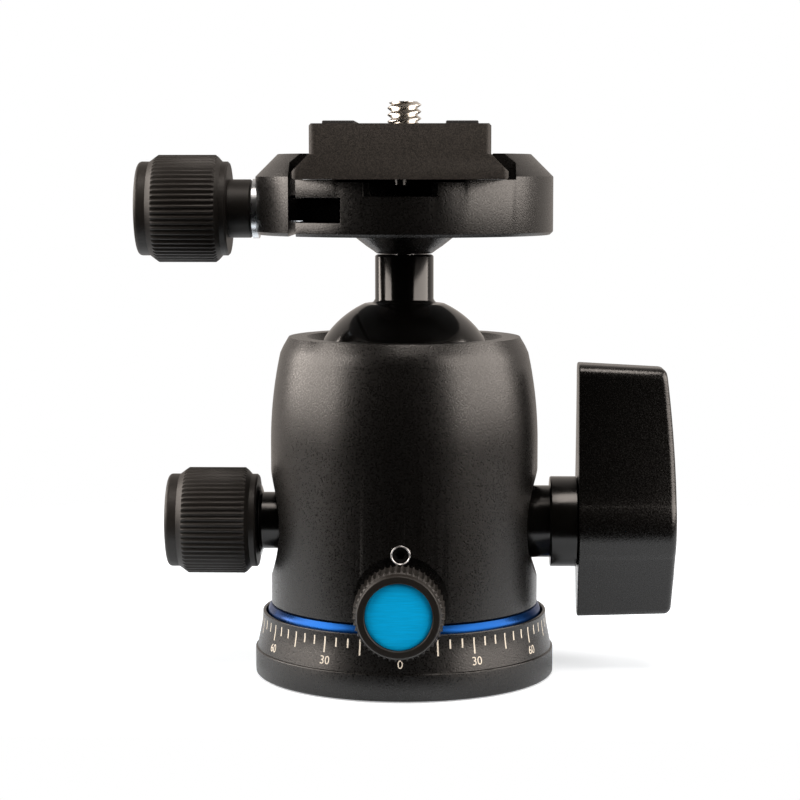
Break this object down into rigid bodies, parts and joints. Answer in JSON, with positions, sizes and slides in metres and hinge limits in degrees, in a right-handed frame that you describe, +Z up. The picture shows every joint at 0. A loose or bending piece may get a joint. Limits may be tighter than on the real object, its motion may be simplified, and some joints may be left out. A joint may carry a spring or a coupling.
{
  "type": "tripod ball head",
  "caption": "Tripod ball head with a panning base, a lockable ball in a round housing, side knobs and a dovetail quick-release clamp that carries a camera plate.",
  "frame": {"origin": "middle of the base's underside, at the mouth of the tripod thread", "axes": "+Z up along the pan axis and the stem, -Y towards the zero of the degree scale and the pan knob, +X towards the large lock knob"},
  "size_m": [0.1016, 0.069, 0.1082],
  "materials": {
    "coated_black": "machined aluminium under a fine pebbled powder coat, semi-gloss black",
    "black_machined": "black anodised, turned and polished",
    "knob_plastic": "matte warm-black moulded plastic",
    "lever_plastic": "semi-gloss black with a fine pebbled texture",
    "blue_ring": "satin blue anodised",
    "blue_disc": "brushed blue anodised",
    "plate_black": "matte sandblasted black anodised",
    "rubber_black": "matte rubber",
    "nickel": "nickel plated",
    "steel": "turned steel",
    "spring_steel": "spring steel",
    "white_plastic": "white bearing plastic",
    "brass": "turned brass",
    "bare_alu": "bare turned aluminium"
  },
  "bodies": {
    "base": {"base_ring": "coated_black", "socket_bush": "steel", "pan_spindle": "bare_alu", "spindle_screws": "steel", "pan_washer": "white_plastic"},
    "housing": {"housing": "coated_black", "trim_ring": "blue_ring", "guide_screw": "steel", "ball_cup": "bare_alu", "disc_spring": "spring_steel", "wedge_block": "steel", "lock_bush": "brass", "tension_bush": "brass", "pan_bush": "brass", "keeper_washer": "white_plastic"},
    "seat": {"seat_ring": "white_plastic"},
    "ball": {"ball_and_stem": "black_machined"},
    "clamp": {"clamp_body": "coated_black", "clamp_bolt": "steel", "jaw_springs": "spring_steel"},
    "jaw": {"jaw": "coated_black", "jaw_pins": "steel", "clamp_washer": "nickel"},
    "clamp_knob": {"clamp_knob": "knob_plastic", "clamp_stud": "steel"},
    "plate": {"plate": "plate_black", "plate_pads": "rubber_black", "screw_washer": "black_machined", "stop_pins": "plate_black"},
    "camera_screw": {"camera_screw": "nickel"},
    "lock_thrust": {"lock_pin": "steel"},
    "lock_knob": {"lock_knob": "lever_plastic", "lock_collar": "black_machined", "lock_shaft": "steel"},
    "tension_thrust": {"tension_pin": "steel"},
    "tension_knob": {"tension_knob": "knob_plastic", "tension_sleeve": "black_machined", "tension_stud": "steel"},
    "pan_thrust": {"pan_pad": "brass"},
    "pan_knob": {"pan_knob": "black_machined", "pan_cap": "blue_disc", "pan_stud": "steel"}
  },
  "joints": [
    {"name": "pan", "type": "hinge", "parent": "base", "child": "housing", "pos_m": [0, 0, 0.0175], "axis": [0, 0, 1], "continuous": true},
    {"name": "ball_swivel", "type": "hinge", "parent": "housing", "child": "seat", "pos_m": [0, 0, 0.05375], "axis": [0, 0, 1], "continuous": true},
    {"name": "ball_tilt", "type": "hinge", "parent": "seat", "child": "ball", "pos_m": [0, 0, 0.05375], "axis": [1, 0, 0], "range_deg": [-45, 45]},
    {"name": "ball_spin", "type": "hinge", "parent": "ball", "child": "clamp", "pos_m": [0, 0, 0.05375], "axis": [0, 0, 1], "continuous": true},
    {"name": "clamp_knob_turn", "type": "hinge", "parent": "jaw", "child": "clamp_knob", "pos_m": [-0.04, 0, 0.0881], "axis": [-1, 0, 0], "range_deg": [0, 1260]},
    {"name": "jaw_slide", "type": "slide", "parent": "clamp", "child": "jaw", "axis": [-1, 0, 0], "range_m": [0, 0.0036]},
    {"name": "plate_slide", "type": "slide", "parent": "clamp", "child": "plate", "axis": [0, 1, 0], "range_m": [-0.0035, 0.0035]},
    {"name": "camera_screw_turn", "type": "hinge", "parent": "plate", "child": "camera_screw", "pos_m": [0, 0, 0.1], "axis": [0, 0, 1], "continuous": true},
    {"name": "lock_knob_turn", "type": "hinge", "parent": "lock_thrust", "child": "lock_knob", "pos_m": [0.03, 0, 0.0287], "axis": [1, 0, 0], "range_deg": [0, 360]},
    {"name": "lock_thrust_slide", "type": "slide", "parent": "housing", "child": "lock_thrust", "axis": [1, 0, 0], "range_m": [0, 0.00152]},
    {"name": "tension_knob_turn", "type": "hinge", "parent": "tension_thrust", "child": "tension_knob", "pos_m": [-0.03, 0, 0.0287], "axis": [-1, 0, 0], "range_deg": [-180, 180]},
    {"name": "tension_thrust_slide", "type": "slide", "parent": "housing", "child": "tension_thrust", "axis": [-1, 0, 0], "range_m": [-0.00051, 0.00051]},
    {"name": "pan_knob_turn", "type": "hinge", "parent": "pan_thrust", "child": "pan_knob", "pos_m": [0, -0.03, 0.0175], "axis": [0, -1, 0], "range_deg": [0, 540]},
    {"name": "pan_thrust_slide", "type": "slide", "parent": "housing", "child": "pan_thrust", "axis": [0, -1, 0], "range_m": [0, 0.00122]}
  ],
  "couplings": [
    {"joint": "jaw_slide", "follows": "clamp_knob_turn", "m_per_rad": 0.00015915},
    {"joint": "lock_thrust_slide", "follows": "lock_knob_turn", "m_per_rad": 0.00023873},
    {"joint": "tension_thrust_slide", "follows": "tension_knob_turn", "m_per_rad": 0.00015915},
    {"joint": "pan_thrust_slide", "follows": "pan_knob_turn", "m_per_rad": 0.00012732}
  ]
}
